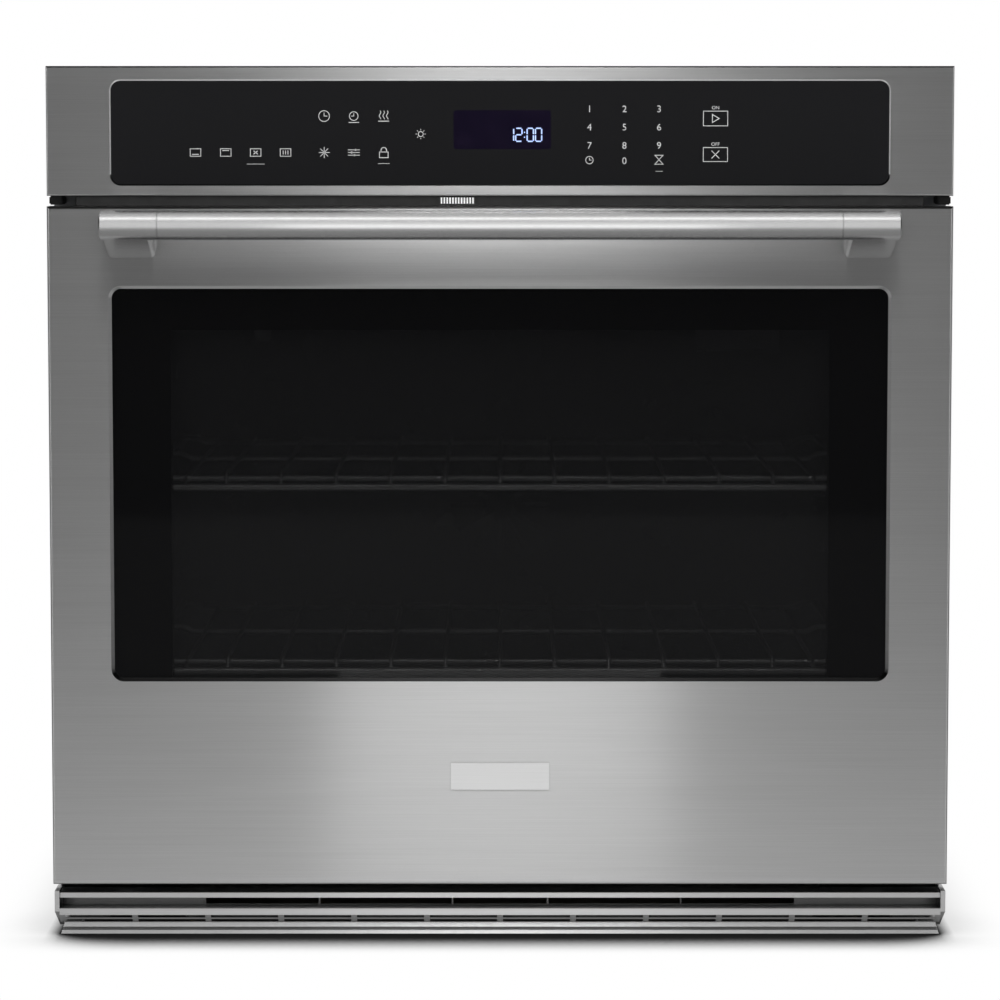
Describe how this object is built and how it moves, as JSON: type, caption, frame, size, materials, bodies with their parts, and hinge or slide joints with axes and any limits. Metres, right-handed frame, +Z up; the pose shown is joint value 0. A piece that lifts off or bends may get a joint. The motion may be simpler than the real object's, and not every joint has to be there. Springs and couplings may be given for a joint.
{
  "type": "wall oven",
  "caption": "Built-in electric wall oven with a drop-down glazed door, bar handle, sliding wire racks, touch control panel and a slotted air vent under the door.",
  "frame": {"origin": "on the shelf under the oven, at mid width, in the plane of the cabinet face", "axes": "+X to the right of someone facing the oven, +Y into the wall, +Z up"},
  "size_m": [0.756, 0.6932, 0.733],
  "materials": {
    "stainless": "brushed",
    "galvanised": "satin",
    "enamel": "gloss",
    "black_paint": "satin",
    "control_glass": "gloss",
    "tinted_glass": "gloss",
    "clear_glass": "gloss",
    "gasket": "matte",
    "wool": "matte",
    "heater": "satin",
    "chrome_wire": "polished",
    "motor_steel": "satin",
    "bright_plastic": "gloss",
    "circuit_board": "satin",
    "black_plastic": "matte",
    "display": "gloss"
  },
  "bodies": {
    "chassis": {"base_pan": "galvanised", "left_side_panel": "galvanised", "right_side_panel": "galvanised", "top_cover": "galvanised", "rear_cover": "galvanised", "front_frame": "black_paint", "frame_feet": "black_paint", "mount_rail_left": "galvanised", "mount_rail_right": "galvanised", "cavity_wrap": "enamel", "cavity_floor": "enamel", "cavity_back": "enamel", "door_gasket": "gasket", "insulation_wrap": "wool", "insulation_back": "wool", "bake_element": "heater", "broil_element": "heater", "convection_element": "heater", "convection_baffle": "enamel", "convection_motor": "motor_steel", "lamp_housing": "galvanised", "lamp_bulb": "clear_glass", "lamp_lens": "clear_glass", "temperature_probe": "motor_steel", "flue_tube": "galvanised", "air_deflector": "galvanised", "cooling_scroll": "galvanised", "cooling_motor": "motor_steel", "power_board": "circuit_board", "terminal_block": "black_plastic", "thermal_cutoff": "black_plastic", "control_fascia": "stainless", "control_glass": "control_glass", "control_carrier": "black_plastic", "touch_board": "circuit_board", "display_module": "display", "vent_trim": "stainless", "vent_end_caps": "stainless", "latch_bracket": "galvanised", "latch_motor": "black_plastic", "vent_comb": "bright_plastic", "hinge_receivers": "galvanised", "hinge_arms": "motor_steel"},
    "door": {"door_skin": "stainless", "door_outer_glass": "tinted_glass", "glass_frame": "galvanised", "inner_glass_panes": "clear_glass", "door_liner": "enamel", "door_insulation": "wool", "handle_bar": "stainless", "handle_brackets": "stainless", "hinge_channels": "galvanised", "hinge_pins": "motor_steel", "hinge_springs": "motor_steel"},
    "upper_rack": {"upper_rack": "chrome_wire"},
    "lower_rack": {"lower_rack": "chrome_wire"},
    "convection_fan": {"convection_fan": "motor_steel"},
    "cooling_wheel": {"cooling_wheel": "motor_steel"},
    "latch": {"latch_hook": "motor_steel"}
  },
  "joints": [
    {"name": "door_hinge", "type": "hinge", "parent": "chassis", "child": "door", "pos_m": [0, -0.03, 0.066], "axis": [1, 0, 0], "range_deg": [0, 90], "stiffness_Nm_per_rad": 16, "springref_deg": -20.05},
    {"name": "upper_rack_slide", "type": "slide", "parent": "chassis", "child": "upper_rack", "axis": [0, -1, 0], "range_m": [0, 0.035]},
    {"name": "lower_rack_slide", "type": "slide", "parent": "chassis", "child": "lower_rack", "axis": [0, -1, 0], "range_m": [0, 0.035]},
    {"name": "convection_fan_spin", "type": "hinge", "parent": "chassis", "child": "convection_fan", "pos_m": [0, 0.5, 0.32], "axis": [0, 1, 0], "continuous": true},
    {"name": "cooling_wheel_spin", "type": "hinge", "parent": "chassis", "child": "cooling_wheel", "pos_m": [0.04, 0.42, 0.64], "axis": [0, 0, 1], "continuous": true},
    {"name": "latch_swing", "type": "hinge", "parent": "chassis", "child": "latch", "pos_m": [0, 0.028, 0.6075], "axis": [0, 0, 1], "range_deg": [0, 18]}
  ]
}
